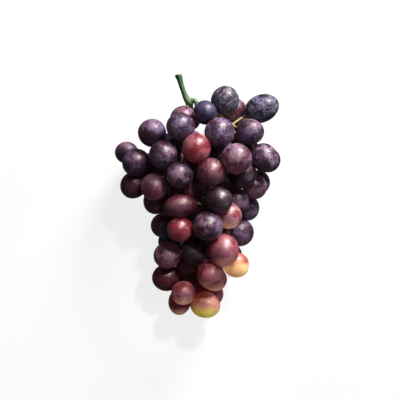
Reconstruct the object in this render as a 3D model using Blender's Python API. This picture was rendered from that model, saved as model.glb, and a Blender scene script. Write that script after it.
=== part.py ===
"""Bunch of grapes lying on its side: stem end toward +Y, tip toward -Y, resting on z = 0.

Sizes in the tables are millimetres; the meshes are metres.
"""
import heapq
import math
import random

import bmesh
import bpy
from mathutils import Vector
import numpy as np

MM = 0.001
SEED = 10

# Berries seen from above: x, y and height of the centre, width, length.
RIPE_BERRIES = {
    "shoulder_right_top": (20.3, 72.1, 42.0, 21.0, 22.5),
    "shoulder_right_far": (47.9, 66.2, 38.0, 20.8, 27.5),
    "by_the_stem": (5.3, 62.9, 52.0, 18.0, 19.0),
    "left_of_stem_behind": (-11.0, 58.0, 38.0, 20.0, 21.0),
    "under_the_stem": (-7.0, 58.7, 10.5, 18.0, 19.0),
    "left_of_stem": (-12.8, 51.9, 58.0, 21.0, 22.0),
    "shoulder_left": (-34.4, 47.9, 42.0, 21.0, 22.5),
    "shoulder_right_behind": (27.0, 64.4, 23.0, 19.0, 20.0),
    "below_the_shoulder": (16.5, 48.3, 57.0, 22.5, 24.0),
    "shoulder_right_low": (39.0, 48.8, 49.0, 19.5, 21.5),
    "red_upper_middle": (-2.2, 36.8, 61.0, 22.0, 23.5),
    "upper_left": (-26.0, 31.4, 54.0, 21.5, 23.0),
    "upper_left_behind": (-20.6, 39.3, 34.0, 18.0, 19.5),
    "wing_left_small": (-53.8, 33.2, 30.0, 16.5, 18.0),
    "wing_left": (-46.3, 25.4, 45.0, 20.5, 22.0),
    "wing_left_low": (-48.3, 8.9, 26.0, 19.7, 21.0),
    "upper_right": (29.0, 28.4, 64.0, 23.0, 24.5),
    "wing_right": (49.7, 29.3, 46.0, 20.5, 22.5),
    "wing_right_behind": (52.1, 27.5, 24.0, 19.0, 20.0),
    "middle_left": (-13.4, 16.0, 60.0, 20.0, 21.5),
    "middle": (9.6, 17.5, 62.0, 21.5, 22.5),
    "side_left": (-33.0, 7.4, 48.0, 20.0, 21.5),
    "under_upper_right": (33.0, 17.0, 43.0, 22.0, 23.0),
    "side_right_behind": (45.4, 11.0, 12.0, 18.0, 19.0),
    "side_right": (42.4, 7.6, 29.0, 18.5, 19.5),
    "centre_right": (15.7, -2.5, 58.0, 20.5, 22.0),
    "side_left_deep": (-32.1, -3.8, 31.5, 18.0, 19.0),
    "centre_left_wide": (-12.9, -6.9, 48.0, 18.0, 25.5),
    "centre_left_deep": (-21.4, -6.5, 28.0, 18.0, 19.0),
    "side_right_upper": (29.5, -2.9, 42.0, 17.5, 18.5),
    "side_right_low": (37.0, -8.9, 26.0, 18.5, 19.5),
    "pink_right": (22.2, -13.9, 44.0, 20.0, 21.5),
    "low_right": (31.2, -26.4, 29.0, 21.5, 22.5),
    "low_left_deep": (-25.9, -21.7, 17.0, 19.0, 20.0),
    "low_left_blue": (-19.5, -24.7, 34.0, 18.5, 19.5),
    "red_low_left": (-13.4, -24.3, 53.0, 19.0, 20.5),
    "low_middle": (7.6, -21.8, 56.0, 22.5, 24.0),
    "pale_low_left": (-23.4, -43.5, 40.0, 20.0, 21.5),
    "blue_low_middle": (-2.3, -40.8, 46.0, 20.0, 21.5),
    "low_middle_deep": (-6.0, -49.3, 29.5, 18.0, 19.0),
    "wine_low_left": (-24.3, -60.9, 22.0, 20.5, 22.0),
    "wine_low_deep": (-6.8, -61.0, 12.0, 18.0, 19.0),
    "low_left_behind": (-19.9, -33.8, 26.0, 18.0, 20.4),
    "between_right": (21.3, 8.1, 33.3, 18.0, 19.0),
    "inner_upper_right": (17.1, 34.7, 37.0, 19.1, 20.1),
    "inner_upper": (-2.0, 24.1, 40.4, 17.5, 18.5),
    "inner_upper_left": (-13.0, 29.0, 21.7, 17.5, 18.5),
    "inner_left": (-34.3, 19.6, 26.3, 17.7, 18.7),
    "inner_left_low": (-13.4, 4.4, 38.9, 18.0, 19.0),
    "inner_middle": (-4.4, 5.2, 43.0, 18.3, 19.3),
    "inner_centre": (4.9, -8.2, 39.0, 17.5, 18.5),
    "inner_low_right": (15.5, -29.5, 35.0, 18.0, 19.0),
    "inner_deep_low": (8.5, -39.5, 10.3, 18.0, 19.0),
    "inner_deep_top": (17.4, 58.3, 11.0, 19.4, 20.4),
    "inner_deep_mid": (24.2, 4.6, 15.2, 17.6, 18.6),
}
TIP_BERRIES = {
    "wine_large": (19.4, -39.1, 46.0, 22.8, 25.6),
    "amber_right": (28.5, -51.2, 28.0, 19.0, 20.5),
    "red_low": (9.0, -58.6, 39.0, 20.0, 22.5),
    "pink_behind": (12.4, -61.7, 18.0, 18.5, 19.5),
    "tip_left": (-11.3, -72.2, 35.0, 18.0, 19.0),
    "tip_left_dark": (-13.6, -79.1, 17.0, 17.0, 20.0),
    "tip_red": (7.6, -73.4, 16.0, 20.0, 22.6),
    "tip_amber": (5.7, -81.6, 34.0, 19.8, 22.8),
}
# Berries whose long axis is seen to point another way: heading from +X, then rise, in degrees.
LEANS = {
    "left_of_stem": (170.0, 58.0),
    "red_upper_middle": (75.0, 68.0),
    "upper_right": (35.0, 60.0),
    "shoulder_right_far": (25.0, 10.0),
    "shoulder_right_low": (-15.0, 30.0),
    "centre_left_wide": (188.0, 12.0),
    "wing_right": (-60.0, 25.0),
    "red_low": (-100.0, 30.0),
    "tip_amber": (-10.0, 12.0),
    "wine_large": (-80.0, 28.0),
    "tip_left_dark": (-95.0, 8.0),
    "tip_red": (3.7, 8.0),
    "low_left_behind": (180.0, 8.0),
}

# Left and right edge of the bunch at a distance y along it, for the berries on its back.
EDGES = ((-90.0, -8.0, 16.0), (-80.0, -22.0, 18.0), (-70.0, -21.0, 21.0), (-60.0, -34.0, 23.0),
         (-48.0, -33.0, 36.0), (-38.0, -33.0, 31.0), (-25.0, -34.0, 41.0), (-5.0, -42.0, 46.0),
         (8.0, -57.0, 52.0), (22.0, -57.0, 59.0), (32.0, -58.0, 60.0), (38.0, -36.0, 50.0),
         (44.0, -42.0, 47.0), (49.0, -40.0, 48.0), (54.0, -21.0, 46.0), (60.0, -19.0, 48.0),
         (68.0, -17.0, 58.0), (78.0, 10.0, 32.0))
EDGE_INSET = 10.0
BACK_FIRST_ROW = -77.0
BACK_LAST_ROW = 66.0
BACK_ROW_STEP = 16.5
BACK_BERRY_STEP = 19.5
BACK_HEIGHT = 9.4
BACK_EDGE_RISE = 12.0
BACK_WIDTHS = (17.5, 20.0)
BACK_STRETCH = 1.06
BACK_JITTER = 2.2
BACK_SKIP = 14.2
# A berry goes under each high berry near the edge where the bunch would stand open.
FLANK_FROM = 37.0
FLANK_HEIGHT = 25.0
FLANK_INWARD = 0.88
FLANK_DROP = 6.0
FLANK_EDGE = 0.50
FLANK_SKIP = 13.8
STALK_SKIP = 10.8
HIDDEN_ALONG = (-82.0, 62.0)
TIP_END = -62.0

# Stalk lines: points with the radius there.
RACHIS = ((-14.8, 91.6, 30.0, 2.75), (-14.7, 91.1, 30.1, 2.7), (-13.7, 88.3, 30.6, 2.25),
          (-12.7, 84.2, 31.3, 1.9), (-11.4, 80.2, 32.0, 1.85), (-10.2, 77.0, 32.5, 1.9),
          (-8.8, 73.7, 33.0, 2.3), (-6.8, 70.9, 32.6, 2.8), (-6.2, 67.3, 30.4, 2.75),
          (-6.6, 62.0, 25.0, 2.2), (-7.5, 55.0, 23.0, 2.2), (-7.0, 47.0, 22.5, 2.2),
          (-4.0, 37.0, 25.0, 2.2), (0.0, 26.0, 28.0, 2.1), (1.5, 10.0, 29.0, 2.0),
          (2.0, -6.0, 28.0, 1.9), (2.5, -22.0, 26.0, 1.8), (3.0, -38.0, 24.0, 1.6),
          (3.0, -52.0, 22.5, 1.5), (1.0, -66.0, 21.0, 1.3))
SIDE_SHOOT = ((-6.0, 71.2, 33.0, 1.7), (-4.2, 72.3, 34.0, 1.8), (-2.3, 72.2, 34.6, 1.8),
              (-1.3, 70.9, 34.8, 1.8), (-1.3, 68.9, 34.8, 1.6), (1.4, 65.6, 35.0, 1.4))
ARM_RIGHT = ((-6.6, 62.4, 25.4, 1.6), (6.0, 62.0, 30.0, 1.5), (16.0, 60.5, 33.5, 1.4),
             (21.0, 56.6, 35.0, 1.3), (26.0, 54.2, 36.5, 1.0), (33.2, 59.3, 38.0, 0.85))
ARM_LEFT = ((-7.1, 48.0, 22.6, 1.6), (-18.0, 46.0, 24.0, 1.4), (-28.0, 38.5, 27.0, 1.3),
            (-35.5, 30.5, 28.5, 1.2))
ARM_WING = ((-2.2, 32.0, 26.4, 1.6), (10.0, 31.0, 28.0, 1.4), (24.0, 29.0, 31.0, 1.3),
            (38.0, 26.0, 33.0, 1.2))
STALK_LINES = (RACHIS, SIDE_SHOOT, ARM_RIGHT, ARM_LEFT, ARM_WING)
KNOB = (-6.3, 71.0, 32.6)
KNOB_RADIUS = 3.2

# A narrow way through the bunch, seen as a bright spot beside the stem.
WINDOW = (2.0, 50.6)
WINDOW_RADIUS = 2.6
WINDOW_TOP = 78.0

# Place of the origin in the table's own coordinates: the middle of the bunch's outline.
ORIGIN = (-0.3, 0.5)

# Packing.
PRESS = 0.95
NODE_GAP = 0.75
STALK_GAP = 0.75
STUB_REACH = 2.2
STUB_RADIUS = 1.5
FLOOR_FLAT = 0.70
HUB_LEAD = 9.0
SETTLE_ROUNDS = 500
SIDEWAYS = 0.04
SINK = 0.03
LYING_BELOW = 17.0

# Pedicels.
PEDICEL_RADIUS = 0.85
CUP_RADIUS = 1.5
CUP_LENGTH = 1.6
BERRY_GAP = 0.35
WAY_GAP = 0.40
LATTICE_STEP = 2.3
JOIN_WEIGHT = 0.45

# Facets.
BERRY_SIDES = 10
BERRY_BANDS = 7
DIMPLE = 0.35
THICK_SIDES = 8
ARM_SIDES = 6
THIN_SIDES = 5


def clear_scene():
    for item in list(bpy.data.objects):
        bpy.data.objects.remove(item, do_unlink=True)


def heading_vector(heading, rise):
    flat = math.cos(math.radians(rise))
    return np.array((flat * math.cos(math.radians(heading)),
                     flat * math.sin(math.radians(heading)),
                     math.sin(math.radians(rise))))


def resample(line, step):
    """Points with radii along a stalk line, about a step apart."""
    line = np.array(line)
    found = [line[:1]]
    for start, end in zip(line[:-1], line[1:]):
        count = max(1, int(np.linalg.norm(end[:3] - start[:3]) / step))
        share = np.linspace(0.0, 1.0, count + 1)[1:, None]
        found.append(start + (end - start) * share)
    return np.concatenate(found)


def edges_at(y):
    """Where the middles of the outermost berries may stand, left and right."""
    along, left, right = zip(*EDGES)
    return float(np.interp(y, along, left)) + EDGE_INSET, float(np.interp(y, along, right)) - EDGE_INSET


def back_places(rng):
    """Rows of places along the back, rising toward the edges."""
    count = int((BACK_LAST_ROW - BACK_FIRST_ROW) / BACK_ROW_STEP) + 1
    for row in range(count):
        y = BACK_FIRST_ROW + row * BACK_ROW_STEP
        left, right = edges_at(y)
        number = max(2, 1 + round((right - left) / BACK_BERRY_STEP))
        for index in range(number):
            share = index / (number - 1)
            inward = rng.uniform(0.0, BACK_JITTER) * (1.0 if share < 0.5 else -1.0)
            rise = BACK_EDGE_RISE * max(0.0, abs(2.0 * share - 1.0) - 0.4)
            x = left + share * (right - left) + inward
            yield (x, y + rng.uniform(-BACK_JITTER, BACK_JITTER), BACK_HEIGHT + rise)


def flank_places(seen):
    """Places under the high berries that stand near the bunch's edges."""
    for x, y, height, _width, _length in seen:
        left, right = edges_at(y)
        middle = (left + right) / 2.0
        if height > FLANK_FROM and abs(x - middle) > FLANK_EDGE * (right - left) / 2.0:
            yield (middle + (x - middle) * FLANK_INWARD, y - FLANK_DROP, FLANK_HEIGHT)


def hidden_berries(seen, rng):
    """Berries on the back and the flanks, left out where another already fills the place."""
    taken = [berry[:3] for berry in seen]
    stalk = [point for line in STALK_LINES for point in resample(line, 2.0)[:, :3]]
    found = []
    for places, skip in ((flank_places(seen), FLANK_SKIP), (back_places(rng), BACK_SKIP)):
        for place in places:
            width = rng.uniform(*BACK_WIDTHS)
            in_window = math.dist(place[:2], WINDOW) < width / 2.0 + WINDOW_RADIUS
            on_stalk = min(math.dist(place, point) for point in stalk) < STALK_SKIP
            if in_window or on_stalk or min(math.dist(place, other) for other in taken) < skip:
                continue
            taken.append(place)
            found.append((*place, width, width * BACK_STRETCH))
    return found


class Bunch:
    """The berries as arrays: centres, widths, lengths, axes and groups, settled against each other."""

    def __init__(self):
        rng = random.Random(SEED)
        seen = [*RIPE_BERRIES.values(), *TIP_BERRIES.values()]
        back = hidden_berries(seen, rng)
        table = np.array(seen + back)
        self.names = [*RIPE_BERRIES, *TIP_BERRIES] + [f"back_{index:02d}" for index in range(len(back))]
        self.wish = table[:, :3].copy()
        self.centres = table[:, :3].copy()
        self.widths = table[:, 3]
        self.lengths = table[:, 4]
        self.seen = np.arange(len(table)) < len(seen)
        in_tip = [name in TIP_BERRIES for name in self.names]
        self.tip = np.array(in_tip) | (~self.seen & (self.wish[:, 1] < TIP_END))
        self.stalk = np.concatenate([resample(line, 2.0) for line in STALK_LINES])
        self.joints = np.concatenate([resample(line, 2.0)[1:-1] for line in STALK_LINES])
        column = np.arange(0.0, WINDOW_TOP, 3.0)
        self.window = np.array([(*WINDOW, z, WINDOW_RADIUS) for z in column])
        self.aim()
        self.settle()

    def aim(self):
        """Each berry's long axis points away from the stalk, a little toward the tip."""
        lead = self.centres + (0.0, HUB_LEAD, 0.0)
        gaps = np.linalg.norm(lead[:, None] - self.stalk[None, :, :3], axis=2)
        hubs = self.stalk[gaps.argmin(axis=1), :3]
        axes = self.centres - hubs
        self.axes = axes / np.linalg.norm(axes, axis=1)[:, None]
        for name, (heading, rise) in LEANS.items():
            self.axes[self.names.index(name)] = heading_vector(heading, rise)

    def reach(self, ways):
        """Distance from each berry's centre to its skin along unit vectors, one row a berry."""
        along = np.einsum("ijk,ik->ij", ways, self.axes)
        half_width = self.widths[:, None] / 2.0
        half_length = self.lengths[:, None] / 2.0
        return 1.0 / np.sqrt((along / half_length) ** 2 + (1.0 - along ** 2) / half_width ** 2)

    def pairs(self):
        """Unit vectors between centres, and how far each pair of skins overlaps."""
        offsets = self.centres[:, None] - self.centres[None]
        spans = np.linalg.norm(offsets, axis=2) + np.eye(len(offsets))
        ways = offsets / spans[:, :, None]
        reach = self.reach(-ways)
        overlaps = reach + reach.T - spans
        np.fill_diagonal(overlaps, -1000.0)
        return ways, overlaps

    def bonds(self, overlaps):
        """The closest contacts that hold each group together as one body."""
        held = np.zeros(overlaps.shape, dtype=bool)
        for group in (self.tip, ~self.tip):
            members = np.flatnonzero(group)
            inside = members[:1]
            outside = members[1:]
            while len(outside):
                block = overlaps[np.ix_(inside, outside)]
                row, column = np.unravel_index(block.argmax(), block.shape)
                held[inside[row], outside[column]] = True
                held[outside[column], inside[row]] = True
                inside = np.append(inside, outside[column])
                outside = np.delete(outside, column)
        return held

    def push_from(self, samples, gap):
        """Move away from fixed samples, each with its radius in the last column."""
        offsets = self.centres[:, None] - samples[None, :, :3]
        spans = np.linalg.norm(offsets, axis=2)
        ways = offsets / spans[:, :, None]
        short = self.reach(-ways) + samples[None, :, 3] + gap - spans
        worst = short.argmax(axis=1)
        index = np.arange(len(worst))
        return ways[index, worst] * np.maximum(short[index, worst], 0.0)[:, None]

    def push_from_stubs(self):
        """Keep the start of each pedicel clear of the other berries."""
        stubs = self.centres - self.axes * (self.lengths / 2.0 + STUB_REACH)[:, None]
        offsets = self.centres[:, None] - stubs[None]
        spans = np.linalg.norm(offsets, axis=2)
        ways = offsets / spans[:, :, None]
        short = np.maximum(self.reach(-ways) + STUB_RADIUS - spans, 0.0)
        np.fill_diagonal(short, 0.0)
        push = ways * short[:, :, None]
        return 0.5 * push.sum(axis=1) - 0.25 * push.sum(axis=0)

    def settle(self):
        same = self.tip[:, None] == self.tip[None]
        slack = np.where(same, -PRESS, NODE_GAP)
        hold = np.where(self.seen[:, None], (0.12, 0.12, 0.02), (0.08, 0.08, 0.08))
        sideways = np.where(self.seen, SIDEWAYS, 1.0)[:, None]
        hidden = np.flatnonzero(~self.seen)
        lying = np.flatnonzero(self.wish[:, 2] < LYING_BELOW)
        for turn in range(SETTLE_ROUNDS):
            fading = max(0.0, 1.0 - 1.2 * turn / SETTLE_ROUNDS) ** 2
            if turn % 10 == 0:
                self.aim()
                held = self.bonds(self.pairs()[1])
            ways, overlaps = self.pairs()
            short = overlaps + slack
            force = np.where((short > 0.0) | held, 0.5 * short, 0.0)
            move = (ways * force[:, :, None]).sum(axis=1)
            move += self.push_from(self.stalk, STALK_GAP)
            move += self.push_from(self.window, 0.0)
            move += self.push_from_stubs()
            move[:, :2] *= sideways
            self.centres += 0.6 * move
            self.centres += (self.wish - self.centres) * hold * fading
            self.centres[lying, 2] -= SINK
            self.keep_inside(hidden)
            self.centres[:, 2] = np.maximum(self.centres[:, 2], self.low_reach() - FLOOR_FLAT)
        self.aim()

    def keep_inside(self, members):
        """Hold some berries inside the outline of the seen ones."""
        along, left, right = zip(*EDGES)
        y = self.centres[members, 1]
        low = np.interp(y, along, left) + EDGE_INSET
        high = np.interp(y, along, right) - EDGE_INSET
        self.centres[members, 0] = np.clip(self.centres[members, 0], low, high)
        self.centres[members, 1] = np.clip(y, *HIDDEN_ALONG)

    def low_reach(self):
        """Height of each centre over its own lowest point."""
        rise = self.axes[:, 2] ** 2
        return np.sqrt(rise * (self.lengths / 2.0) ** 2 + (1.0 - rise) * (self.widths / 2.0) ** 2)

    def clearance(self, points):
        """Distance from each point to the nearest berry's skin."""
        best = np.full(len(points), np.inf)
        for centre, axis, width, length in zip(self.centres, self.axes, self.widths, self.lengths):
            offset = points - centre
            span = np.linalg.norm(offset, axis=1) + 1e-9
            along = (offset @ axis) / span
            skin = 1.0 / np.sqrt((2.0 * along / length) ** 2 + (1.0 - along ** 2) * (2.0 / width) ** 2)
            best = np.minimum(best, span - skin)
        return best


class Ways:
    """Lattice of points in the gaps between the berries, where a pedicel can pass."""

    def __init__(self, bunch):
        self.bunch = bunch
        self.room = PEDICEL_RADIUS + WAY_GAP
        spans = [np.arange(low.min() - 4.0, low.max() + 4.0, LATTICE_STEP) for low in bunch.centres.T]
        grid = np.stack(np.meshgrid(*spans, indexing="ij"), axis=-1)
        self.shape = grid.shape[:3]
        self.points = grid.reshape(-1, 3)
        clear = bunch.clearance(self.points)
        self.free = (clear > self.room) & (self.points[:, 2] > 2.5)
        self.free &= np.hypot(*(self.points[:, :2] - WINDOW).T) > WINDOW_RADIUS + 2.0 * PEDICEL_RADIUS
        index = np.flatnonzero(self.free)
        self.free[index] = self.covered(self.points[index])
        self.links = self.link()
        self.ends = self.link_stalk()

    def covered(self, points):
        """True where a berry lies outward of the point, so a pedicel there stays inside the bunch."""
        stalk = self.bunch.stalk[:, :3]
        gaps = np.linalg.norm(points[:, None] - stalk[None], axis=2)
        ways = points - stalk[gaps.argmin(axis=1)]
        ways /= np.linalg.norm(ways, axis=1)[:, None] + 1e-9
        hidden = np.zeros(len(points), dtype=bool)
        for centre, width in zip(self.bunch.centres, self.bunch.widths):
            offset = centre - points
            ahead = np.einsum("ij,ij->i", offset, ways)
            side = np.linalg.norm(offset - ways * ahead[:, None], axis=1)
            hidden |= (ahead > 0.0) & (side < 0.42 * width)
        return hidden

    def open_between(self, starts, ends):
        """True where the straight way between two points keeps clear of every berry."""
        shares = (0.25, 0.5, 0.75)
        clear = [self.bunch.clearance(starts + (ends - starts) * share) for share in shares]
        return np.min(clear, axis=0) > self.room - 0.1

    def link(self):
        """Neighbouring free points with the length of the way between them."""
        links = {index: [] for index in np.flatnonzero(self.free)}
        free = self.free.reshape(self.shape)
        numbers = np.arange(len(self.points)).reshape(self.shape)
        steps = (-1, 0, 1)
        offsets = [(i, j, k) for i in steps for j in steps for k in steps if (i, j, k) > (0, 0, 0)]
        for offset in offsets:
            low = [slice(max(0, -step), size - max(0, step)) for step, size in zip(offset, self.shape)]
            high = [slice(max(0, step), size - max(0, -step)) for step, size in zip(offset, self.shape)]
            both = free[tuple(low)] & free[tuple(high)]
            first = numbers[tuple(low)][both]
            second = numbers[tuple(high)][both]
            clear = self.open_between(self.points[first], self.points[second])
            length = LATTICE_STEP * math.sqrt(sum(map(abs, offset)))
            for one, other in zip(first[clear], second[clear]):
                links[one].append((other, length))
                links[other].append((one, length))
        return links

    def link_stalk(self):
        """Free points from which a pedicel can run straight to the stalk."""
        ends = {}
        index = np.flatnonzero(self.free)
        joints = self.bunch.joints[:, :3]
        gaps = np.linalg.norm(self.points[index][:, None] - joints[None], axis=2)
        nearest = gaps.argmin(axis=1)
        close = gaps.min(axis=1) < 2.2 * LATTICE_STEP
        clear = self.open_between(self.points[index], joints[nearest])
        for point, target, span, good in zip(index, nearest, gaps.min(axis=1), close & clear):
            if good:
                ends[point] = (span, target)
        return ends


class Pedicels:
    """Ways from every berry to the stalk, joined into branching arms."""

    def __init__(self, bunch):
        self.bunch = bunch
        self.ways = Ways(bunch)
        self.depth = {}
        self.next = {}
        self.routes = []
        self.missed = []
        roots = bunch.centres - bunch.axes * (bunch.lengths / 2.0)[:, None]
        gaps = np.linalg.norm(roots[:, None] - bunch.stalk[None, :, :3], axis=2).min(axis=1)
        for berry in np.argsort(gaps):
            self.grow(berry)

    def grow(self, berry):
        axis = self.bunch.axes[berry]
        half = self.bunch.lengths[berry] / 2.0
        cup = self.bunch.centres[berry] - axis * (half + BERRY_GAP - DIMPLE)
        neck = cup - axis * CUP_LENGTH
        found = self.search(neck)
        if found is None:
            self.missed.append(self.bunch.names[berry])
            return
        self.routes.append((cup, neck, self.keep(neck, found)))

    def search(self, start):
        """Cheapest way from a point to the stalk or to an arm that already reaches it."""
        ways = self.ways
        index = np.array(list(ways.links))
        gaps = np.linalg.norm(ways.points[index] - start, axis=1)
        near = index[gaps < 4.0 * LATTICE_STEP]
        begin = np.repeat(start[None], len(near), axis=0)
        near = near[ways.open_between(begin, ways.points[near])] if len(near) else near
        queue = [(math.dist(start, ways.points[point]), int(point), -1) for point in near]
        heapq.heapify(queue)
        came = {}
        best = (math.inf, None, None)
        while queue and queue[0][0] < best[0]:
            cost, point, before = heapq.heappop(queue)
            if point in came:
                continue
            came[point] = before
            if point in self.depth:
                best = min(best, (cost + JOIN_WEIGHT * self.depth[point], point, -1))
            if point in ways.ends:
                span, target = ways.ends[point]
                best = min(best, (cost + span, point, int(target)))
            for other, length in ways.links[point]:
                if other not in came:
                    heapq.heappush(queue, (cost + length, int(other), point))
        if best[1] is None:
            return None
        route = [best[1]]
        while came[route[-1]] != -1:
            route.append(came[route[-1]])
        return route[::-1], best[2]

    def keep(self, neck, found):
        """Drop the corners that a straight way can skip, then remember the rest as an arm."""
        route, target = found
        points = [neck] + [self.ways.points[point] for point in route]
        marks = [-1] + route
        if target >= 0:
            points.append(self.bunch.joints[target, :3])
            marks.append(("stalk", target))
        kept = [0]
        while kept[-1] < len(points) - 1:
            reach = kept[-1] + 1
            for far in range(len(points) - 1, reach, -1):
                if self.straight(points[kept[-1]], points[far]):
                    reach = far
                    break
            kept.append(reach)
        names = [marks[index] for index in kept]
        depth = self.depth.get(names[-1], 0.0)
        for here, after in reversed(list(zip(names[1:-1], names[2:]))):
            self.next[here] = after
            ahead = self.bunch.joints[after[1], :3] if isinstance(after, tuple) else self.ways.points[after]
            depth = depth + math.dist(self.ways.points[here], ahead)
            self.depth[here] = depth
        return names

    def straight(self, start, end):
        """True where a pedicel can run straight between two points."""
        shares = np.linspace(0.0, 1.0, 12)[1:, None]
        return self.bunch.clearance(start + (end - start) * shares).min() > self.ways.room

    def loads(self):
        """How many berries each arm point carries."""
        counts = {}
        for _cup, _neck, names in self.routes:
            here = next((name for name in names if name in self.next), None)
            while here in self.next:
                counts[here] = counts.get(here, 0) + 1
                here = self.next[here]
        return counts

    def tubes(self):
        """Points and radii of one tube a berry, from its cup to the arm or line that it joins."""
        counts = self.loads()
        found = []
        for cup, neck, names in self.routes:
            points = [cup, neck]
            radii = [CUP_RADIUS, PEDICEL_RADIUS]
            for name in names[1:]:
                if isinstance(name, tuple):
                    points.append(self.bunch.joints[name[1], :3])
                    radii.append(min(radii[-1], 0.8 * self.bunch.joints[name[1], 3]))
                    continue
                point = self.ways.points[name]
                room = self.bunch.clearance(point[None])[0] - WAY_GAP
                points.append(point)
                radii.append(min(PEDICEL_RADIUS * counts[name] ** (1.0 / 3.0), room))
            found.append((np.array(points), radii))
        return found


def square_to(axis):
    """Two unit vectors square to an axis."""
    axis = Vector(axis).normalized()
    side = axis.cross(Vector((0.0, 0.0, 1.0)))
    if side.length < 0.1:
        side = axis.cross(Vector((1.0, 0.0, 0.0)))
    side.normalize()
    return side, axis.cross(side)


def ring(mesh, centre, side, other, radius, sides):
    turns = [2.0 * math.pi * index / sides for index in range(sides)]
    return [mesh.verts.new((Vector(centre) + (side * math.cos(turn) + other * math.sin(turn)) * radius) * MM)
            for turn in turns]


def bridge(mesh, first, second):
    for index, vertex in enumerate(first):
        after = (index + 1) % len(first)
        mesh.faces.new((vertex, first[after], second[after], second[index]))


def cap_with(mesh, loop, vertex):
    for index, corner in enumerate(loop):
        mesh.faces.new((corner, loop[(index + 1) % len(loop)], vertex))


def finish_mesh(mesh, name):
    bmesh.ops.recalc_face_normals(mesh, faces=mesh.faces[:])
    data = bpy.data.meshes.new(name)
    mesh.to_mesh(data)
    mesh.free()
    return bpy.data.objects.new(name, data)


def berry_object(name, centre, axis, width, length):
    """A faceted grape: a long ball with a dimple at the stem end and a flat where it lies."""
    mesh = bmesh.new()
    fullness = 1.0 + 0.5 * (1.0 - math.cos(math.pi / BERRY_SIDES))
    centre = Vector(centre)
    axis = Vector(axis).normalized()
    side, other = square_to(axis)
    rings = []
    for band in range(1, BERRY_BANDS):
        turn = math.pi * band / BERRY_BANDS
        spot = centre - axis * (fullness * 0.5 * length * math.cos(turn))
        rings.append(ring(mesh, spot, side, other, fullness * 0.5 * width * math.sin(turn), BERRY_SIDES))
    for first, second in zip(rings[:-1], rings[1:]):
        bridge(mesh, first, second)
    root = mesh.verts.new((centre - axis * (0.5 * length - DIMPLE)) * MM)
    tip = mesh.verts.new((centre + axis * (0.5 * length)) * MM)
    cap_with(mesh, rings[0], root)
    cap_with(mesh, rings[-1], tip)
    if min(vertex.co.z for vertex in mesh.verts) < 0.0:
        bmesh.ops.bisect_plane(mesh, geom=mesh.verts[:] + mesh.edges[:] + mesh.faces[:], dist=1e-7,
                               plane_co=(0.0, 0.0, 0.0), plane_no=(0.0, 0.0, -1.0), clear_outer=True)
        bmesh.ops.holes_fill(mesh, edges=[edge for edge in mesh.edges if edge.is_boundary], sides=0)
    return finish_mesh(mesh, name)


def tube_object(name, points, radii, sides):
    """A closed tube through points, with a radius at each."""
    mesh = bmesh.new()
    points = [Vector(point) for point in points]
    side, other = square_to(points[1] - points[0])
    rings = []
    for index, (point, radius) in enumerate(zip(points, radii)):
        before = point - points[index - 1] if index else points[1] - point
        after = points[index + 1] - point if index + 1 < len(points) else before
        way = (before.normalized() + after.normalized()).normalized()
        side = (side - way * side.dot(way)).normalized()
        other = way.cross(side)
        rings.append(ring(mesh, point, side, other, radius, sides))
    for first, second in zip(rings[:-1], rings[1:]):
        bridge(mesh, first, second)
    mesh.faces.new(rings[0])
    mesh.faces.new(rings[-1])
    return finish_mesh(mesh, name)


def knob_object():
    mesh = bmesh.new()
    bmesh.ops.create_uvsphere(mesh, u_segments=9, v_segments=6, radius=KNOB_RADIUS * MM)
    bmesh.ops.translate(mesh, verts=mesh.verts[:], vec=Vector(KNOB) * MM)
    return finish_mesh(mesh, "knob")


def fuse(name, pieces, material):
    """Join overlapping closed pieces into one body by a union on a collection."""
    base = pieces[0]
    base.name = name
    bpy.context.scene.collection.objects.link(base)
    group = bpy.data.collections.new(name + "_pieces")
    bpy.context.scene.collection.children.link(group)
    for piece in pieces[1:]:
        group.objects.link(piece)
    union = base.modifiers.new("union", "BOOLEAN")
    union.operation = "UNION"
    union.operand_type = "COLLECTION"
    union.collection = group
    union.solver = "EXACT"
    bpy.context.view_layer.update()
    evaluated = base.evaluated_get(bpy.context.evaluated_depsgraph_get())
    data = bpy.data.meshes.new_from_object(evaluated)
    base.modifiers.clear()
    base.data = data
    data.name = name
    for piece in list(group.objects):
        bpy.data.objects.remove(piece, do_unlink=True)
    bpy.data.collections.remove(group)
    data.materials.clear()
    data.materials.append(material)
    for polygon in data.polygons:
        polygon.use_smooth = True
    base.location = (-ORIGIN[0] * MM, -ORIGIN[1] * MM, 0.0)
    return base


def plain_material(name, colour, roughness):
    material = bpy.data.materials.new(name)
    material.use_nodes = True
    shader = material.node_tree.nodes["Principled BSDF"]
    shader.inputs["Base Color"].default_value = (*colour, 1.0)
    shader.inputs["Roughness"].default_value = roughness
    shader.inputs["Metallic"].default_value = 0.0
    material.diffuse_color = (*colour, 1.0)
    return material


def make_berries(bunch, name, members, material):
    pieces = [berry_object(bunch.names[index], bunch.centres[index], bunch.axes[index],
                           bunch.widths[index], bunch.lengths[index]) for index in members]
    return fuse(name, pieces, material)


def make_stalk(bunch, material):
    pieces = []
    for index, line in enumerate(STALK_LINES):
        sides = THICK_SIDES if index == 0 else ARM_SIDES
        points = [row[:3] for row in line]
        radii = [row[3] for row in line]
        pieces.append(tube_object(f"line_{index}", points, radii, sides))
    pieces.append(knob_object())
    for index, (points, radii) in enumerate(Pedicels(bunch).tubes()):
        pieces.append(tube_object(f"pedicel_{index:02d}", points, radii, THIN_SIDES))
    return fuse("stalk", pieces, material)


def main():
    clear_scene()
    bunch = Bunch()
    green = plain_material("stalk_green", (0.10, 0.24, 0.06), 0.6)
    purple = plain_material("ripe_skin", (0.10, 0.035, 0.085), 0.4)
    red = plain_material("tip_skin", (0.36, 0.07, 0.04), 0.35)
    make_stalk(bunch, green)
    make_berries(bunch, "ripe_berries", np.flatnonzero(~bunch.tip), purple)
    make_berries(bunch, "tip_berries", np.flatnonzero(bunch.tip), red)


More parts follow.
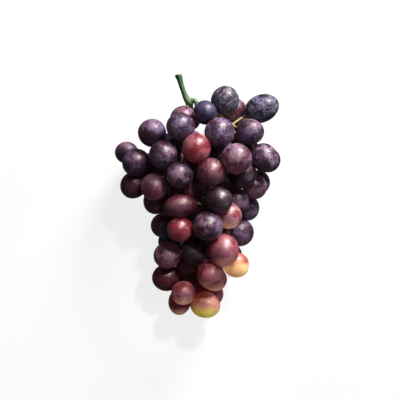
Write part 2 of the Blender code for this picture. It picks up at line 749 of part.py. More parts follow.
if __name__ == "__main__":
    main()
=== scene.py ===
"""Dresses the bunch: smooth grapes under their bloom, a rounded green stalk, floor, light and camera."""
import math
import random

import bpy
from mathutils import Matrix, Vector
import numpy as np


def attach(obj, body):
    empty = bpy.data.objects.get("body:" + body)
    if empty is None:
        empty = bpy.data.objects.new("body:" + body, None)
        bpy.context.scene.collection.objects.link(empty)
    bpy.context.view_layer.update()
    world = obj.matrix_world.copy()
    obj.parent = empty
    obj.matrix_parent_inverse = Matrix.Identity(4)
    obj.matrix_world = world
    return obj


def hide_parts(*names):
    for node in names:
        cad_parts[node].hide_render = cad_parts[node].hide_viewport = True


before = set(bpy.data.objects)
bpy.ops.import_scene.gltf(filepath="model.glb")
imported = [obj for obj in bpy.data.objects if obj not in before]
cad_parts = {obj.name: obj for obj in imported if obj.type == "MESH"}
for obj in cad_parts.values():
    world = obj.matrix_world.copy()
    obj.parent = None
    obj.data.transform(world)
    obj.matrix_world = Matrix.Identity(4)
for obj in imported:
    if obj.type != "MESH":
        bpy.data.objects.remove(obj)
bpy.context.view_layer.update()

MM = 0.001
SEED = 10

# Berries placed one by one, in millimetres: x, y and height of the centre, width, length, tone.
# Those whose names begin with inner fill the bunch behind the seen ones.
RIPE_BERRIES = {
    "shoulder_right_top": (20.3, 72.1, 42.0, 21.0, 22.5, "dusty"),
    "shoulder_right_far": (47.9, 66.2, 38.0, 20.8, 27.5, "dusty"),
    "by_the_stem": (5.3, 62.9, 52.0, 18.0, 19.0, "blue"),
    "left_of_stem_behind": (-11.0, 58.0, 38.0, 20.0, 21.0, "mauve"),
    "under_the_stem": (-7.0, 58.7, 10.5, 18.0, 19.0, "wine"),
    "left_of_stem": (-12.8, 51.9, 58.0, 21.0, 22.0, "lilac"),
    "shoulder_left": (-34.4, 47.9, 42.0, 21.0, 22.5, "purple"),
    "shoulder_right_behind": (27.0, 64.4, 23.0, 19.0, 20.0, "mauve"),
    "below_the_shoulder": (16.5, 48.3, 57.0, 22.5, 24.0, "lilac"),
    "shoulder_right_low": (39.0, 48.8, 49.0, 19.5, 21.5, "purple"),
    "red_upper_middle": (-2.2, 36.8, 61.0, 22.0, 23.5, "red"),
    "upper_left": (-26.0, 31.4, 54.0, 21.5, 23.0, "purple"),
    "upper_left_behind": (-20.6, 39.3, 34.0, 18.0, 19.5, "blue"),
    "wing_left_small": (-53.8, 33.2, 30.0, 16.5, 18.0, "purple"),
    "wing_left": (-46.3, 25.4, 45.0, 20.5, 22.0, "lilac"),
    "wing_left_low": (-48.3, 8.9, 26.0, 19.7, 21.0, "wine"),
    "upper_right": (29.0, 28.4, 64.0, 23.0, 24.5, "mauve"),
    "wing_right": (49.7, 29.3, 46.0, 20.5, 22.5, "lilac"),
    "wing_right_behind": (52.1, 27.5, 24.0, 19.0, 20.0, "blue"),
    "middle_left": (-13.4, 16.0, 60.0, 20.0, 21.5, "purple"),
    "middle": (9.6, 17.5, 62.0, 21.5, 22.5, "wine"),
    "side_left": (-33.0, 7.4, 48.0, 20.0, 21.5, "mauve"),
    "under_upper_right": (33.0, 17.0, 43.0, 22.0, 23.0, "ink"),
    # side_right_behind takes the bright dusty tone as painted light: it lies in shade among its neighbours
    # here.
    "side_right_behind": (45.4, 11.0, 12.0, 18.0, 19.0, "dusty"),
    "side_right": (42.4, 7.6, 29.0, 18.5, 19.5, "mauve"),
    "centre_right": (15.7, -2.5, 58.0, 20.5, 22.0, "ink"),
    "side_left_deep": (-32.1, -3.8, 31.5, 18.0, 19.0, "wine"),
    "centre_left_wide": (-12.9, -6.9, 48.0, 18.0, 25.5, "wine"),
    "centre_left_deep": (-21.4, -6.5, 28.0, 18.0, 19.0, "wine"),
    "side_right_upper": (29.5, -2.9, 42.0, 17.5, 18.5, "purple"),
    "side_right_low": (37.0, -8.9, 26.0, 18.5, 19.5, "lilac"),
    "pink_right": (22.2, -13.9, 44.0, 20.0, 21.5, "pink"),
    "low_right": (31.2, -26.4, 29.0, 21.5, 22.5, "purple"),
    "low_left_deep": (-25.9, -21.7, 17.0, 19.0, 20.0, "wine"),
    "low_left_blue": (-19.5, -24.7, 34.0, 18.5, 19.5, "ink"),
    "red_low_left": (-13.4, -24.3, 53.0, 19.0, 20.5, "red"),
    "low_middle": (7.6, -21.8, 56.0, 22.5, 24.0, "purple"),
    "pale_low_left": (-23.4, -43.5, 40.0, 20.0, 21.5, "mauve"),
    "blue_low_middle": (-2.3, -40.8, 46.0, 20.0, 21.5, "ink"),
    "low_middle_deep": (-6.0, -49.3, 29.5, 18.0, 19.0, "wine"),
    "wine_low_left": (-24.3, -60.9, 22.0, 20.5, 22.0, "wine"),
    "wine_low_deep": (-6.8, -61.0, 12.0, 18.0, 19.0, "wine"),
    "low_left_behind": (-19.9, -33.8, 26.0, 18.0, 20.4, "blue"),
    "between_right": (21.3, 8.1, 33.3, 18.0, 19.0, "purple"),
    "inner_upper_right": (17.1, 34.7, 37.0, 19.1, 20.1, "purple"),
    "inner_upper": (-2.0, 24.1, 40.4, 17.5, 18.5, "wine"),
    "inner_upper_left": (-13.0, 29.0, 21.7, 17.5, 18.5, "wine"),
    "inner_left": (-34.3, 19.6, 26.3, 17.7, 18.7, "purple"),
    "inner_left_low": (-13.4, 4.4, 38.9, 18.0, 19.0, "wine"),
    "inner_middle": (-4.4, 5.2, 43.0, 18.3, 19.3, "wine"),
    "inner_centre": (4.9, -8.2, 39.0, 17.5, 18.5, "purple"),
    "inner_low_right": (15.5, -29.5, 35.0, 18.0, 19.0, "wine"),
    "inner_deep_low": (8.5, -39.5, 10.3, 18.0, 19.0, "wine"),
    "inner_deep_top": (17.4, 58.3, 11.0, 19.4, 20.4, "purple"),
    "inner_deep_mid": (24.2, 4.6, 15.2, 17.6, 18.6, "purple"),
}
TIP_BERRIES = {
    "wine_large": (19.4, -39.1, 46.0, 22.8, 25.6, "cherry"),
    "amber_right": (28.5, -51.2, 28.0, 19.0, 20.5, "amber"),
    "red_low": (9.0, -58.6, 39.0, 20.0, 22.5, "cherry"),
    "pink_behind": (12.4, -61.7, 18.0, 18.5, 19.5, "pink"),
    "tip_left": (-11.3, -72.2, 35.0, 18.0, 19.0, "pink"),
    "tip_left_dark": (-13.6, -79.1, 17.0, 17.0, 20.0, "cherry"),
    "tip_red": (7.6, -73.4, 16.0, 20.0, 22.6, "cherry"),
    "tip_amber": (5.7, -81.6, 34.0, 19.8, 22.8, "gold"),
}
# Berries whose long axis is seen to point another way: heading from +X, then rise, in degrees.
LEANS = {
    "left_of_stem": (170.0, 58.0),
    "red_upper_middle": (75.0, 68.0),
    "upper_right": (35.0, 60.0),
    "shoulder_right_far": (25.0, 10.0),
    "shoulder_right_low": (-15.0, 30.0),
    "centre_left_wide": (188.0, 12.0),
    "wing_right": (-60.0, 25.0),
    "red_low": (-100.0, 30.0),
    "tip_amber": (-10.0, 12.0),
    "wine_large": (-80.0, 28.0),
    "tip_left_dark": (-95.0, 8.0),
    "tip_red": (3.7, 8.0),
    "low_left_behind": (180.0, 8.0),
}
# Where the brown scar at a berry's free end is seen, where it isn't at the end of that axis.
SCARS = {
    "wing_left_small": (98.0, 66.0),
    "wing_right": (-6.0, 40.0),
}

# Left and right edge of the bunch at a distance y along it, for the berries on its back.
EDGES = ((-90.0, -8.0, 16.0), (-80.0, -22.0, 18.0), (-70.0, -21.0, 21.0), (-60.0, -34.0, 23.0),
         (-48.0, -33.0, 36.0), (-38.0, -33.0, 31.0), (-25.0, -34.0, 41.0), (-5.0, -42.0, 46.0),
         (8.0, -57.0, 52.0), (22.0, -57.0, 59.0), (32.0, -58.0, 60.0), (38.0, -36.0, 50.0),
         (44.0, -42.0, 47.0), (49.0, -40.0, 48.0), (54.0, -21.0, 46.0), (60.0, -19.0, 48.0),
         (68.0, -17.0, 58.0), (78.0, 10.0, 32.0))
EDGE_INSET = 10.0

# Rows of berries along the back, and berries on the flanks, under the high ones.
BACK_FIRST_ROW = -77.0
BACK_LAST_ROW = 66.0
BACK_ROW_STEP = 16.5
BACK_BERRY_STEP = 19.5
BACK_HEIGHT = 9.4
BACK_EDGE_RISE = 12.0
BACK_FLAT_SHARE = 0.4
BACK_WIDTHS = (17.5, 20.0)
BACK_STRETCH = 1.06
BACK_JITTER = 2.2
BACK_SKIP = 14.2
FLANK_FROM = 37.0
FLANK_HEIGHT = 25.0
FLANK_INWARD = 0.88
FLANK_DROP = 6.0
FLANK_EDGE = 0.50
FLANK_SKIP = 13.8
STALK_SKIP = 10.8
HIDDEN_ALONG = (-82.0, 62.0)
TIP_END = -62.0

# Stalk lines: points with the radius there.
RACHIS = ((-14.8, 91.6, 30.0, 2.75), (-14.7, 91.1, 30.1, 2.7), (-13.7, 88.3, 30.6, 2.25),
          (-12.7, 84.2, 31.3, 1.9), (-11.4, 80.2, 32.0, 1.85), (-10.2, 77.0, 32.5, 1.9),
          (-8.8, 73.7, 33.0, 2.3), (-6.8, 70.9, 32.6, 2.8), (-6.2, 67.3, 30.4, 2.75),
          (-6.6, 62.0, 25.0, 2.2), (-7.5, 55.0, 23.0, 2.2), (-7.0, 47.0, 22.5, 2.2),
          (-4.0, 37.0, 25.0, 2.2), (0.0, 26.0, 28.0, 2.1), (1.5, 10.0, 29.0, 2.0),
          (2.0, -6.0, 28.0, 1.9), (2.5, -22.0, 26.0, 1.8), (3.0, -38.0, 24.0, 1.6),
          (3.0, -52.0, 22.5, 1.5), (1.0, -66.0, 21.0, 1.3))
SIDE_SHOOT = ((-6.0, 71.2, 33.0, 1.7), (-4.2, 72.3, 34.0, 1.8), (-2.3, 72.2, 34.6, 1.8),
              (-1.3, 70.9, 34.8, 1.8), (-1.3, 68.9, 34.8, 1.6), (1.4, 65.6, 35.0, 1.4))
ARM_RIGHT = ((-6.6, 62.4, 25.4, 1.6), (6.0, 62.0, 30.0, 1.5), (16.0, 60.5, 33.5, 1.4),
             (21.0, 56.6, 35.0, 1.3), (26.0, 54.2, 36.5, 1.0), (33.2, 59.3, 38.0, 0.85))
ARM_LEFT = ((-7.1, 48.0, 22.6, 1.6), (-18.0, 46.0, 24.0, 1.4), (-28.0, 38.5, 27.0, 1.3),
            (-35.5, 30.5, 28.5, 1.2))
ARM_WING = ((-2.2, 32.0, 26.4, 1.6), (10.0, 31.0, 28.0, 1.4), (24.0, 29.0, 31.0, 1.3),
            (38.0, 26.0, 33.0, 1.2))
STALK_LINES = (RACHIS, SIDE_SHOOT, ARM_RIGHT, ARM_LEFT, ARM_WING)
STALK_STEP = 2.0

# The gap under the stem that shows the ground, kept open by a column of samples.
WINDOW = (2.0, 50.6)
WINDOW_RADIUS = 2.6
WINDOW_TOP = 78.0
WINDOW_STEP = 3.0

# The bunch's own origin in the table's millimetres.
ORIGIN = (-0.3, 0.5)

# Packing, as in the solids: depths and gaps between skins in millimetres.
PRESS = 0.95
NODE_GAP = 0.75
STALK_GAP = 0.75
STUB_REACH = 2.2
STUB_RADIUS = 1.5
STUB_PUSH = 0.5
STUB_YIELD = 0.25
FLOOR_FLAT = 0.70
HUB_LEAD = 9.0
NO_CONTACT = -1000.0

# Settling: how much of each move is made, and how hard a berry is held to its place at first.
SETTLE_ROUNDS = 500
BOND_ROUNDS = 10
EASE = 0.6
SIDEWAYS = 0.04
PLACED_HOLD = (0.12, 0.12, 0.02)
HIDDEN_HOLD = (0.08, 0.08, 0.08)
HOLD_FADING = 1.2
SINK = 0.03
LYING_BELOW = 17.0

# Grapes. The dimple is in radii of the ball, the scars are in radians, and the rest in millimetres.
GRAPE_SIDES = 40
GRAPE_BANDS = 26
DIMPLE_DEPTH = 0.045
DIMPLE_WIDTH = 0.22
UNEVENNESS = 0.22
SWELL_SIZE = 11.0
FLAT_EDGE = 0.10
FLAT_GAP = 0.02
FAINT_SCAR = 0.030
CLEAR_SCAR = 0.105

# Collars and bark of the stalk, in millimetres.
COLLAR_RADIUS = 1.75
COLLAR_THICKNESS = 0.62
COLLAR_LIFT = 0.35
COLLAR_SIDES = 16
COLLAR_BANDS = 8
BARK_VOXEL = 0.40
BARK_ROUNDS = 5
BARK_SWELL = 0.12

# Tones of the skin: four colours in linear light, for the skin, its paler low side, the blush in patches and
# the dust of the bloom. Then how much bloom there is, how much of it has flaked, how much painted glow the
# bare skin gives, standing in for light that comes through the flesh, and how low on the berry the skin
# turns paler.
# The paler low side is partly the skin's own colour and partly painted light coming through the flesh.
TONE_COLOURS = ("skin", "pale", "blush", "dust")
TONE_VALUES = ("bloom", "flaking", "clear", "low")
TONES = {
    "blue": ((0.010, 0.008, 0.018), (0.012, 0.009, 0.020), (0.024, 0.009, 0.022), (0.15, 0.13, 0.29),
             0.56, 0.55, 0.00, 0.9),
    "ink": ((0.018, 0.006, 0.015), (0.020, 0.007, 0.015), (0.040, 0.008, 0.018), (0.20, 0.11, 0.17),
            0.34, 0.60, 0.00, 0.9),
    "dusty": ((0.016, 0.012, 0.022), (0.016, 0.012, 0.022), (0.024, 0.012, 0.024), (0.38, 0.35, 0.50),
              0.92, 1.00, 0.00, 0.9),
    "lilac": ((0.030, 0.012, 0.034), (0.044, 0.013, 0.030), (0.080, 0.015, 0.034), (0.48, 0.33, 0.50),
              0.90, 0.80, 0.08, 0.3),
    "purple": ((0.026, 0.008, 0.022), (0.036, 0.010, 0.020), (0.075, 0.011, 0.024), (0.44, 0.28, 0.43),
               0.82, 0.75, 0.08, 0.3),
    "mauve": ((0.064, 0.015, 0.032), (0.110, 0.028, 0.040), (0.140, 0.020, 0.034), (0.52, 0.35, 0.45),
              0.86, 0.75, 0.26, 0.3),
    "wine": ((0.050, 0.004, 0.010), (0.054, 0.006, 0.011), (0.150, 0.010, 0.014), (0.37, 0.16, 0.22),
             0.50, 0.65, 0.06, 0.5),
    "red": ((0.135, 0.007, 0.018), (0.165, 0.012, 0.018), (0.265, 0.018, 0.026), (0.64, 0.39, 0.39),
            0.60, 0.55, 0.22, 0.5),
    "pink": ((0.140, 0.018, 0.028), (0.720, 0.400, 0.270), (0.240, 0.045, 0.045), (0.64, 0.46, 0.48),
             0.60, 0.32, 0.38, 0.24),
    "cherry": ((0.112, 0.005, 0.015), (0.740, 0.340, 0.250), (0.185, 0.014, 0.022), (0.58, 0.34, 0.39),
               0.46, 0.35, 0.28, 0.40),
    "amber": ((0.210, 0.040, 0.024), (0.820, 0.560, 0.270), (0.440, 0.110, 0.035), (0.46, 0.24, 0.15),
              0.50, 0.10, 0.52, -0.35),
    "gold": ((0.215, 0.042, 0.018), (0.700, 0.620, 0.070), (0.520, 0.170, 0.040), (0.84, 0.60, 0.54),
             0.75, 0.25, 0.42, 0.02),
}
BACK_TONES = ("purple", "wine", "blue", "mauve")

# Patterns on the skin: scale, detail and twist of each noise, and the shift that gives each berry its own.
PATTERN_SHIFT = (41.0, 37.0, 43.0)
PATTERNS = {
    "grain": (700.0, 3.0, 0.0),
    "clouds": (88.0, 2.0, 0.4),
    "ragged": (420.0, 4.0, 0.8),
    "islands": (270.0, 3.0, 1.6),
    "islets": (760.0, 3.0, 1.0),
    "pits": (760.0, 2.0, 0.2),
    "pitted": (150.0, 2.0, 0.0),
    "scratched": (210.0, 1.0, 0.0),
    "blush": (60.0, 2.0, 0.3),
    "cool": (70.0, 1.0, 0.0),
}
SCRATCH_SCALE = 150.0
# The two values between which each change on the skin goes from none to all.
SPANS = {
    "rubbed": (0.45, 0.49),
    "islands": (0.490, 0.530),
    "flaked": (0.50, 0.38),
    "pits": (0.58, 0.64),
    "pitted": (0.40, 0.58),
    "scratch": (0.015, 0.050),
    "scratched": (0.56, 0.62),
    "marked": (0.0, 0.6),
    "pale": (0.0, 0.75),
    "blush": (0.50, 0.66),
    "cool": (0.42, 0.60),
    "root": (0.955, 0.985),
    "ring": (0.85, 1.25),
    "scar": (0.45, 0.70),
}

# The skin's colours beside its tones, and its even settings.
BLOOM_COVER = 0.42
COOL_DUST = (0.74, 0.84, 1.08, 1.0)
BLACK = (0.0, 0.0, 0.0, 1.0)
MARK_COLOUR = (0.010, 0.005, 0.008, 1.0)
ROOT_COLOUR = (0.16, 0.15, 0.05, 1.0)
RING_COLOUR = (0.022, 0.009, 0.010, 1.0)
SCAR_COLOUR = (0.16, 0.055, 0.035, 1.0)
SKIN_RELIEF = 0.00055
SKIN_SETTINGS = {
    "Emission Strength": 1.0,
    "Coat Roughness": 0.33,
    "Specular IOR Level": 0.60,
    "Sheen Weight": 0.05,
    "Sheen Roughness": 0.30,
    "Sheen Tint": (0.74, 0.82, 1.0, 1.0),
    "Subsurface Radius": (1.0, 0.42, 0.18),
    "Subsurface Scale": 0.007,
}
TIP_CLEARNESS = 0.35

# Bark: two shades for each stretch of the stalk, and where the stretches start, in metres.
# The inner bark is painted dark as painted shade inside the bunch; the shoulder bark is painted pale as
# painted light on the pedicels at the right shoulder.
INNER_BARK_PAINTED_SHADE = ((0.040, 0.055, 0.016, 1.0), (0.095, 0.105, 0.032, 1.0))
SHOULDER_BARK_PAINTED_LIGHT = ((0.62, 0.60, 0.30, 1.0), (0.80, 0.74, 0.46, 1.0))
JOINT_BARK = ((0.080, 0.190, 0.065, 1.0), (0.170, 0.290, 0.130, 1.0))
PEDUNCLE_BARK = ((0.010, 0.060, 0.018, 1.0), (0.032, 0.150, 0.046, 1.0))
WART_COLOUR = (0.22, 0.15, 0.06, 1.0)
CUT_COLOUR = (0.20, 0.26, 0.10, 1.0)
SHOULDER_ACROSS = (0.006, 0.012)
SHOULDER_ALONG = (0.050, 0.056)
JOINT_ALONG = (0.0655, 0.0690)
PEDUNCLE_ALONG = (0.0715, 0.0755)
CUT_ALONG = (0.0905, 0.0909)
FIBRE_STRETCH = (1.0, 0.12, 1.0)
FIBRE_SCALE = 1500.0
SHADE_SCALE = 180.0
WART_SCALE = 620.0
WART_EDGE = (0.16, 0.30)
BARK_RELIEF = 0.00020

# View, in millimetres.
VIEW_CENTRE = (1.8, -3.05)
VIEW_HEIGHT = 4000.0
VIEW_WIDTH = 300.0
VIEW_LEVEL = 40.0
VIEW_GAMMA = 0.90

# Lamps: the way toward each, what the spot aims at, the colours, and the light all round.
SUN_WAY = (0.42, 0.838, 0.370)
SKY_WAY = (0.9, -0.35, 0.25)
LOW_SUN_WAY = (0.34, 0.66, 0.90)
LOW_BERRIES = (-0.012, -0.055, 0.030)
SUN_COLOUR = (1.0, 0.91, 0.86)
SKY_COLOUR = (0.80, 0.84, 1.0)
SPOT_BLEND = 0.8
SPOT_SOFTNESS = 0.07
AIR_COLOUR = (0.98, 0.94, 0.96, 1.0)
AIR_STRENGTH = 0.09

# Pale floor, in metres, with a painted shadow under the middle of the bunch, its spread in one over its half
# widths.
FLOOR_HALF = 4.0
FLOOR_COLOUR = (0.18, 0.18, 0.18, 1.0)
FLOOR_GLOW = 0.84
WHITE = (1.0, 1.0, 1.0, 1.0)
FOOT_CENTRE = (0.008, -0.020, 0.0)
FOOT_SPREAD = (1.0 / 0.020, 1.0 / 0.040, 0.0)
FOOT_EDGE = (0.80, 1.10)
PAINTED_SHADOW_COLOUR = (0.05, 0.04, 0.05, 1.0)


def heading_vector(heading, rise):
    """Unit vector with that heading from +X and that rise, in degrees."""
    flat = math.cos(math.radians(rise))
    return np.array((flat * math.cos(math.radians(heading)),
                     flat * math.sin(math.radians(heading)),
                     math.sin(math.radians(rise))))


def resample(line, step):
    """Points with radii along a stalk line, about a step apart."""
    line = np.array(line)
    found = [line[:1]]
    for start, end in zip(line[:-1], line[1:]):
        count = max(1, int(np.linalg.norm(end[:3] - start[:3]) / step))
        share = np.linspace(0.0, 1.0, count + 1)[1:, None]
        found.append(start + (end - start) * share)
    return np.concatenate(found)


def edges_at(y):
    """Where the middles of the outermost berries may stand, left and right."""
    along, left, right = zip(*EDGES)
    return np.interp(y, along, left) + EDGE_INSET, np.interp(y, along, right) - EDGE_INSET


def back_places(rng):
    """Rows of places along the back, rising toward the edges."""
    count = int((BACK_LAST_ROW - BACK_FIRST_ROW) / BACK_ROW_STEP) + 1
    for row in range(count):
        y = BACK_FIRST_ROW + row * BACK_ROW_STEP
        left, right = edges_at(y)
        number = max(2, 1 + round((right - left) / BACK_BERRY_STEP))
        for index in range(number):
            share = index / (number - 1)
            inward = rng.uniform(0.0, BACK_JITTER) * (1.0 if share < 0.5 else -1.0)
            rise = BACK_EDGE_RISE * max(0.0, abs(2.0 * share - 1.0) - BACK_FLAT_SHARE)
            x = left + share * (right - left) + inward
            yield (x, y + rng.uniform(-BACK_JITTER, BACK_JITTER), BACK_HEIGHT + rise)


def flank_places(placed):
    """Places under the high berries that stand near the bunch's edges."""
    for x, y, height, _width, _length in placed:
        left, right = edges_at(y)
        middle = (left + right) / 2.0
        if height > FLANK_FROM and abs(x - middle) > FLANK_EDGE * (right - left) / 2.0:
            yield (middle + (x - middle) * FLANK_INWARD, y - FLANK_DROP, FLANK_HEIGHT)


def hidden_berries(placed, rng):
    """Berries on the back and the flanks, left out where another already fills the place."""
    taken = [berry[:3] for berry in placed]
    stalk = [point for line in STALK_LINES for point in resample(line, STALK_STEP)[:, :3]]
    found = []
    for places, skip in ((flank_places(placed), FLANK_SKIP), (back_places(rng), BACK_SKIP)):
        for place in places:
            width = rng.uniform(*BACK_WIDTHS)
            in_window = math.dist(place[:2], WINDOW) < width / 2.0 + WINDOW_RADIUS
            on_stalk = min(math.dist(place, point) for point in stalk) < STALK_SKIP
            if in_window or on_stalk or min(math.dist(place, other) for other in taken) < skip:
                continue
            taken.append(place)
            found.append((*place, width, width * BACK_STRETCH))
    return found


class Bunch:
    """The berries as arrays: centres, widths, lengths, axes and groups, settled against each other."""

    def __init__(self):
        rng = random.Random(SEED)
        rows = [*RIPE_BERRIES.values(), *TIP_BERRIES.values()]
        placed = [row[:5] for row in rows]
        back = hidden_berries(placed, rng)
        table = np.array(placed + back)
        self.names = [*RIPE_BERRIES, *TIP_BERRIES, *(f"back_{index:02d}" for index in range(len(back)))]
        self.wish = table[:, :3].copy()
        self.centres = table[:, :3].copy()
        self.widths = table[:, 3]
        self.lengths = table[:, 4]
        self.placed = np.arange(len(table)) < len(placed)
        in_tip = [name in TIP_BERRIES for name in self.names]
        self.tip = np.array(in_tip) | (~self.placed & (self.wish[:, 1] < TIP_END))
        self.stalk = np.concatenate([resample(line, STALK_STEP) for line in STALK_LINES])
        column = np.arange(0.0, WINDOW_TOP, WINDOW_STEP)
        self.window = np.array([(*WINDOW, z, WINDOW_RADIUS) for z in column])
        self.tones = [row[5] for row in rows]
        for index in np.flatnonzero(~self.placed):
            self.tones.append("cherry" if self.tip[index] else rng.choice(BACK_TONES))
        self.aim()
        self.settle()

    def aim(self):
        """Each berry's long axis points away from the stalk, a little toward the tip."""
        lead = self.centres + (0.0, HUB_LEAD, 0.0)
        gaps = np.linalg.norm(lead[:, None] - self.stalk[None, :, :3], axis=2)
        hubs = self.stalk[gaps.argmin(axis=1), :3]
        axes = self.centres - hubs
        self.axes = axes / np.linalg.norm(axes, axis=1)[:, None]
        for name, (heading, rise) in LEANS.items():
            self.axes[self.names.index(name)] = heading_vector(heading, rise)

    def reach(self, ways):
        """Distance from each berry's centre to its skin along unit vectors, one row a berry."""
        along = np.einsum("ijk,ik->ij", ways, self.axes)
        half_width = self.widths[:, None] / 2.0
        half_length = self.lengths[:, None] / 2.0
        return 1.0 / np.sqrt((along / half_length) ** 2 + (1.0 - along ** 2) / half_width ** 2)

    def pairs(self):
        """Unit vectors between centres, and how far each pair of skins overlaps."""
        offsets = self.centres[:, None] - self.centres[None]
        spans = np.linalg.norm(offsets, axis=2) + np.eye(len(offsets))
        ways = offsets / spans[:, :, None]
        reach = self.reach(-ways)
        overlaps = reach + reach.T - spans
        np.fill_diagonal(overlaps, NO_CONTACT)
        return ways, overlaps

    def bonds(self, overlaps):
        """The closest contacts that hold each group together as one body."""
        held = np.zeros(overlaps.shape, dtype=bool)
        for group in (self.tip, ~self.tip):
            members = np.flatnonzero(group)
            inside = members[:1]
            outside = members[1:]
            while len(outside):
                block = overlaps[np.ix_(inside, outside)]
                row, column = np.unravel_index(block.argmax(), block.shape)
                held[inside[row], outside[column]] = True
                held[outside[column], inside[row]] = True
                inside = np.append(inside, outside[column])
                outside = np.delete(outside, column)
        return held

    def push_from(self, samples, gap):
        """Move away from fixed samples, each with its radius in the last column."""
        offsets = self.centres[:, None] - samples[None, :, :3]
        spans = np.linalg.norm(offsets, axis=2)
        ways = offsets / spans[:, :, None]
        short = self.reach(-ways) + samples[None, :, 3] + gap - spans
        worst = short.argmax(axis=1)
        index = np.arange(len(worst))
        return ways[index, worst] * np.maximum(short[index, worst], 0.0)[:, None]

    def push_from_stubs(self):
        """Keep the start of each pedicel clear of the other berries."""
        stubs = self.centres - self.axes * (self.lengths / 2.0 + STUB_REACH)[:, None]
        offsets = self.centres[:, None] - stubs[None]
        spans = np.linalg.norm(offsets, axis=2)
        ways = offsets / spans[:, :, None]
        short = np.maximum(self.reach(-ways) + STUB_RADIUS - spans, 0.0)
        np.fill_diagonal(short, 0.0)
        push = ways * short[:, :, None]
        return STUB_PUSH * push.sum(axis=1) - STUB_YIELD * push.sum(axis=0)

    def settle(self):
        """Push the berries apart until they only press on each other, with a hold that fades."""
        same = self.tip[:, None] == self.tip[None]
        slack = np.where(same, -PRESS, NODE_GAP)
        hold = np.where(self.placed[:, None], PLACED_HOLD, HIDDEN_HOLD)
        sideways = np.where(self.placed, SIDEWAYS, 1.0)[:, None]
        hidden = np.flatnonzero(~self.placed)
        lying = np.flatnonzero(self.wish[:, 2] < LYING_BELOW)
        for turn in range(SETTLE_ROUNDS):
            fading = max(0.0, 1.0 - HOLD_FADING * turn / SETTLE_ROUNDS) ** 2
            if turn % BOND_ROUNDS == 0:
                self.aim()
                held = self.bonds(self.pairs()[1])
            ways, overlaps = self.pairs()
            short = overlaps + slack
            force = np.where((short > 0.0) | held, short / 2.0, 0.0)
            move = (ways * force[:, :, None]).sum(axis=1)
            move += self.push_from(self.stalk, STALK_GAP)
            move += self.push_from(self.window, 0.0)
            move += self.push_from_stubs()
            move[:, :2] *= sideways
            self.centres += EASE * move
            self.centres += (self.wish - self.centres) * hold * fading
            self.centres[lying, 2] -= SINK
            self.keep_inside(hidden)
            self.centres[:, 2] = np.maximum(self.centres[:, 2], self.low_reach() - FLOOR_FLAT)
        self.aim()

    def keep_inside(self, members):
        """Hold some berries inside the bunch's edges."""
        y = self.centres[members, 1]
        self.centres[members, 0] = np.clip(self.centres[members, 0], *edges_at(y))
        self.centres[members, 1] = np.clip(y, *HIDDEN_ALONG)

    def low_reach(self):
        """Height of each centre over its own lowest point."""
        rise = self.axes[:, 2] ** 2
        return np.sqrt(rise * (self.lengths / 2.0) ** 2 + (1.0 - rise) * (self.widths / 2.0) ** 2)

    def press(self, berry, points):
        """Flatten points of one berry's skin where a neighbour or the floor presses on it."""
        ways, overlaps = self.pairs()
        reach = self.reach(-ways)
        for other in np.flatnonzero(overlaps[berry] > -FLAT_EDGE):
            way = -ways[berry, other]
            plane = reach[berry, other] - overlaps[berry, other] / 2.0 - FLAT_GAP
            beyond = (points - self.centres[berry]) @ way - plane
            points = points - way * soft_excess(beyond)[:, None]
        points[:, 2] += soft_excess(-points[:, 2])
        return points


def soft_excess(beyond):
    """How far a point stands past a plane, rounded off at the edge of the flat."""
    return FLAT_EDGE * np.logaddexp(0.0, beyond / FLAT_EDGE)


class Wire:
    """A node's socket in an expression: each operator adds the Math node that it stands for."""

    def __init__(self, bench, socket):
        self.bench = bench
        self.socket = socket

    def __add__(self, other):
        return self.bench.maths("ADD", self, other)

    def __sub__(self, other):
        return self.bench.maths("SUBTRACT", self, other)

    def __rsub__(self, other):
        return self.bench.maths("SUBTRACT", other, self)

    def __mul__(self, other):
        return self.bench.maths("MULTIPLY", self, other)

    def __truediv__(self, other):
        return self.bench.maths("DIVIDE", self, other)

    def __rtruediv__(self, other):
        return self.bench.maths("DIVIDE", other, self)

    __radd__ = __add__
    __rmul__ = __mul__


def open_socket(sockets, name):
    """The socket of that name which the node's settings leave in use."""
    return next(socket for socket in sockets if socket.name == name and socket.enabled)


class Bench:
    """Adds nodes to one tree, of a material or of a shape."""

    def __init__(self, tree):
        self.tree = tree

    def put(self, kind, settings, inputs, output):
        """Add a node with its settings first, then its inputs, and give the output asked for."""
        node = self.tree.nodes.new(kind)
        for name, value in settings.items():
            setattr(node, name, value)
        for name, value in inputs.items():
            self.feed(open_socket(node.inputs, name), value)
        return Wire(self, open_socket(node.outputs, output))

    def feed(self, socket, value):
        """Link a wire to a socket, or set the socket's own value."""
        if isinstance(value, Wire):
            self.tree.links.new(value.socket, socket)
        else:
            socket.default_value = value

    def maths(self, operation, *values):
        node = self.tree.nodes.new("ShaderNodeMath")
        node.operation = operation
        for socket, value in zip(node.inputs, values):
            self.feed(socket, value)
        return Wire(self, node.outputs[0])

    def vector(self, operation, *values, output="Vector"):
        node = self.tree.nodes.new("ShaderNodeVectorMath")
        node.operation = operation
        for socket, value in zip(node.inputs, values):
            self.feed(socket, value)
        return Wire(self, node.outputs[output])

    def step(self, value, start, end):
        """0 on start's side, 1 on end's side, and a soft rise between them."""
        inputs = {"Value": value, "From Min": start, "From Max": end}
        return self.put("ShaderNodeMapRange", {"interpolation_type": "SMOOTHSTEP"}, inputs, "Result")

    def mix(self, share, first, second):
        """From the first colour to the second by a share."""
        inputs = {"Factor": share, "A": first, "B": second}
        return self.put("ShaderNodeMix", {"data_type": "RGBA"}, inputs, "Result")

    def noise(self, place, scale, detail, twist=0.0):
        inputs = {"Vector": place, "Scale": scale, "Detail": detail, "Distortion": twist}
        return self.put("ShaderNodeTexNoise", {}, inputs, "Fac")


def to_metres(points):
    """From the table's millimetres to the bunch's own place in metres."""
    return (np.array(points) - (*ORIGIN, 0.0)) * MM


